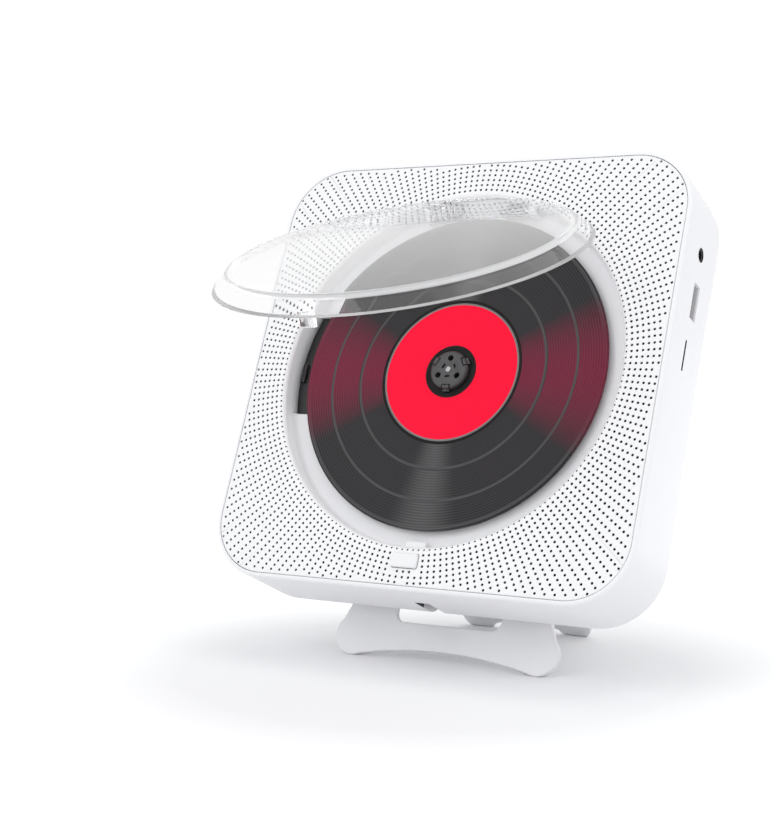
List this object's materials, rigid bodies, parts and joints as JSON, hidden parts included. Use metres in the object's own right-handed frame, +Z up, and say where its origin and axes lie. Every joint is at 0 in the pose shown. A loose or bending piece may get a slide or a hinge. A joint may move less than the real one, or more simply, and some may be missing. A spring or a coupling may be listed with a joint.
{
  "type": "wall mounted cd player",
  "caption": "Square white disc player with a perforated front, clear hinged lid, disc on its hub, side sockets and a bent table stand.",
  "frame": {"origin": "middle of the whole object's box, at floor level", "axes": "+Z up, the front looks towards -Y and leans back by 23.5 degrees, +X to the right as seen from the front"},
  "size_m": [0.166, 0.1672, 0.1832],
  "materials": {
    "white_shell": "satin moulded white",
    "white_panel": "satin moulded white, perforated",
    "well_floor": "satin moulded white",
    "white_button": "satin moulded white",
    "stand_white": "satin moulded white",
    "clear_lid": "clear moulded acrylic",
    "disc_face": "lacquered disc face",
    "black_plastic": "black moulded",
    "hub_grey": "dark grey moulded",
    "gear_white": "natural acetal",
    "steel": "bright zinc plated",
    "shaft_steel": "ground steel",
    "motor_can": "drawn steel can",
    "spring_steel": "spring wire",
    "rubber_black": "soft rubber",
    "cone_black": "doped paper cone",
    "board_green": "solder mask",
    "chip_black": "moulded package",
    "lens_glass": "moulded lens"
  },
  "bodies": {
    "housing": {"rear_shell": "white_shell", "front_panel": "white_panel", "disc_well": "well_floor", "case_screws": "steel", "well_screws": "steel", "lid_hinge_pins": "shaft_steel", "lid_spring": "spring_steel", "latch_spring": "spring_steel", "mech_cover": "black_plastic", "mech_chassis": "steel", "rubber_dampers": "rubber_black", "mech_screws": "steel", "guide_rods": "shaft_steel", "spindle_motor": "motor_can", "gear_clip": "spring_steel", "sled_motor": "motor_can", "speaker_frame_left": "black_plastic", "speaker_cone_left": "cone_black", "speaker_magnet_left": "motor_can", "speaker_frame_right": "black_plastic", "speaker_cone_right": "cone_black", "speaker_magnet_right": "motor_can", "speaker_screws": "steel", "main_board": "board_green", "board_screws": "steel", "board_chips": "chip_black", "board_capacitors": "chip_black", "audio_jack": "black_plastic", "usb_socket": "motor_can", "usb_tongue": "hub_grey", "card_socket": "black_plastic", "dc_socket": "black_plastic", "key_board": "board_green", "tact_switches": "chip_black", "stand_bracket": "stand_white"},
    "lid": {"lid": "clear_lid"},
    "disc_drive": {"spindle_shaft": "shaft_steel", "turntable": "black_plastic", "hub_cap": "hub_grey", "disc": "disc_face"},
    "sled": {"pickup_sled": "black_plastic"},
    "lens": {"lens_holder": "black_plastic", "objective_lens": "lens_glass"},
    "wheel": {"drive_gear": "gear_white"},
    "pinion": {"motor_shaft": "shaft_steel", "motor_pinion": "gear_white"},
    "open_button": {"open_button": "white_button"},
    "catch": {"latch_catch": "white_button"},
    "key_power": {"key_power": "white_button"},
    "key_mode": {"key_mode": "white_button"},
    "key_previous": {"key_previous": "white_button"},
    "key_play": {"key_play": "white_button"},
    "key_next": {"key_next": "white_button"}
  },
  "joints": [
    {"name": "lid_hinge", "type": "hinge", "parent": "housing", "child": "lid", "pos_m": [0, 0.03857, 0.16282], "axis": [1, 0, 0], "range_deg": [0, 48.4]},
    {"name": "disc_spin", "type": "hinge", "parent": "housing", "child": "disc_drive", "pos_m": [0, 0.01533, 0.1051], "axis": [0, -0.9171, 0.3987], "continuous": true},
    {"name": "sled_slide", "type": "slide", "parent": "housing", "child": "sled", "axis": [-1, 0, 0], "range_m": [0, 0.034]},
    {"name": "lens_focus", "type": "slide", "parent": "sled", "child": "lens", "axis": [0, -0.9171, 0.3987], "range_m": [-0.0004, 0.0004]},
    {"name": "wheel_turn", "type": "hinge", "parent": "housing", "child": "wheel", "pos_m": [-0.03, 0.03596, 0.11793], "axis": [0, -0.9171, 0.3987], "range_deg": [-541.3, 0]},
    {"name": "pinion_turn", "type": "hinge", "parent": "housing", "child": "pinion", "pos_m": [-0.02081, 0.04054, 0.12597], "axis": [0, -0.9171, 0.3987], "range_deg": [0, 1804.2]},
    {"name": "open_press", "type": "slide", "parent": "housing", "child": "open_button", "axis": [0, 0.9171, -0.3987], "range_m": [0, 0.0012], "stiffness_N_per_m": 1500, "springref_m": -0.0008},
    {"name": "catch_draw", "type": "slide", "parent": "housing", "child": "catch", "axis": [0, -0.3987, -0.9171], "range_m": [0, 0.0012], "deforming": ["latch_spring"]},
    {"name": "key_power_press", "type": "slide", "parent": "housing", "child": "key_power", "axis": [0, -0.3987, -0.9171], "range_m": [0, 0.0005], "stiffness_N_per_m": 2500, "springref_m": -0.0003},
    {"name": "key_mode_press", "type": "slide", "parent": "housing", "child": "key_mode", "axis": [0, -0.3987, -0.9171], "range_m": [0, 0.0005], "stiffness_N_per_m": 2500, "springref_m": -0.0003},
    {"name": "key_previous_press", "type": "slide", "parent": "housing", "child": "key_previous", "axis": [0, -0.3987, -0.9171], "range_m": [0, 0.0005], "stiffness_N_per_m": 2500, "springref_m": -0.0003},
    {"name": "key_play_press", "type": "slide", "parent": "housing", "child": "key_play", "axis": [0, -0.3987, -0.9171], "range_m": [0, 0.0005], "stiffness_N_per_m": 2500, "springref_m": -0.0003},
    {"name": "key_next_press", "type": "slide", "parent": "housing", "child": "key_next", "axis": [0, -0.3987, -0.9171], "range_m": [0, 0.0005], "stiffness_N_per_m": 2500, "springref_m": -0.0003}
  ],
  "couplings": [
    {"joint": "wheel_turn", "follows": "sled_slide", "rad_per_m": -277.78},
    {"joint": "pinion_turn", "follows": "sled_slide", "rad_per_m": 925.93},
    {"joint": "catch_draw", "follows": "open_press", "ratio": 1}
  ]
}
